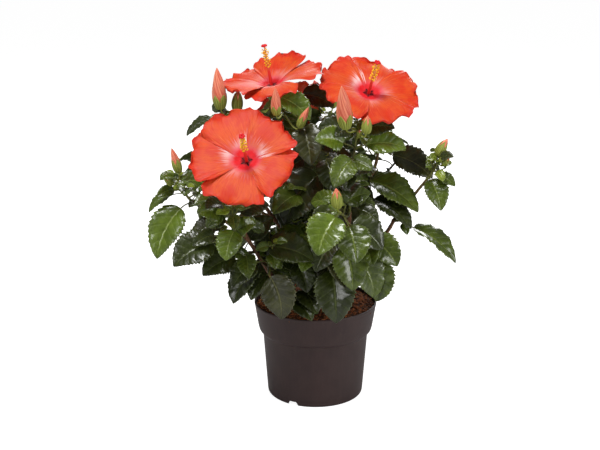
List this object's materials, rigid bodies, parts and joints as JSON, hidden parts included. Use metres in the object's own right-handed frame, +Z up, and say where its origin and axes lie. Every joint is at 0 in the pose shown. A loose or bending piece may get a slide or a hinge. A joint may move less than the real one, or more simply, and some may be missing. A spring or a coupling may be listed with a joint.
{
  "type": "potted hibiscus shrub",
  "caption": "Bushy hibiscus in a round nursery pot: woody stems fork into boughs that carry glossy leaves, pointed buds and large open coral-red flowers.",
  "frame": {"origin": "centre of the pot's flat underside", "axes": "+Z up; the side of the plant that is seen first faces -Y, with +X to its right"},
  "size_m": [0.4067, 0.3375, 0.4916],
  "materials": {
    "pot": "matte dark brown-grey moulded plastic",
    "substrate": "moist bark and fibre mix",
    "bark": "rough brown bark",
    "foliage": "glossy leaf",
    "blossom": "satin petal"
  },
  "bodies": {
    "root": {"pot": "pot", "substrate": "substrate", "stem_left": "bark", "stem_main": "bark", "stem_back": "bark", "bough_far_left": "bark", "bough_front_left": "bark", "bough_top_left": "bark", "bough_top": "bark", "bough_centre_right": "bark", "bough_low_right": "bark", "bough_right": "bark", "bough_mid_right": "bark", "bough_top_right": "bark", "bough_back_left": "bark", "bough_back_top": "bark", "bough_back_right": "bark", "bough_side_left": "bark", "bloom_front": "blossom", "bloom_top": "blossom", "bloom_right": "blossom", "bloom_back": "blossom", "leaves_far_left": "foliage", "leaves_left_low": "foliage", "leaves_left_under": "foliage", "leaves_front_left": "foliage", "leaves_front_low": "foliage", "leaves_right_low": "foliage", "leaves_front_middle": "foliage", "leaves_centre_right": "foliage", "leaves_middle": "foliage", "leaves_middle_high": "foliage", "leaves_mid_right": "foliage", "leaves_right_under": "foliage", "leaves_far_right": "foliage", "leaves_top_right": "foliage", "leaves_top_centre": "foliage", "leaves_top_left": "foliage", "leaves_low_back_left": "foliage", "leaves_low_back_right": "foliage", "leaves_back_left": "foliage", "leaves_back_right": "foliage", "leaves_back_top": "foliage", "leaves_back_middle": "foliage", "leaves_side_left": "foliage", "leaves_side_right": "foliage", "leaves_low_side_right": "foliage"}
  },
  "joints": []
}
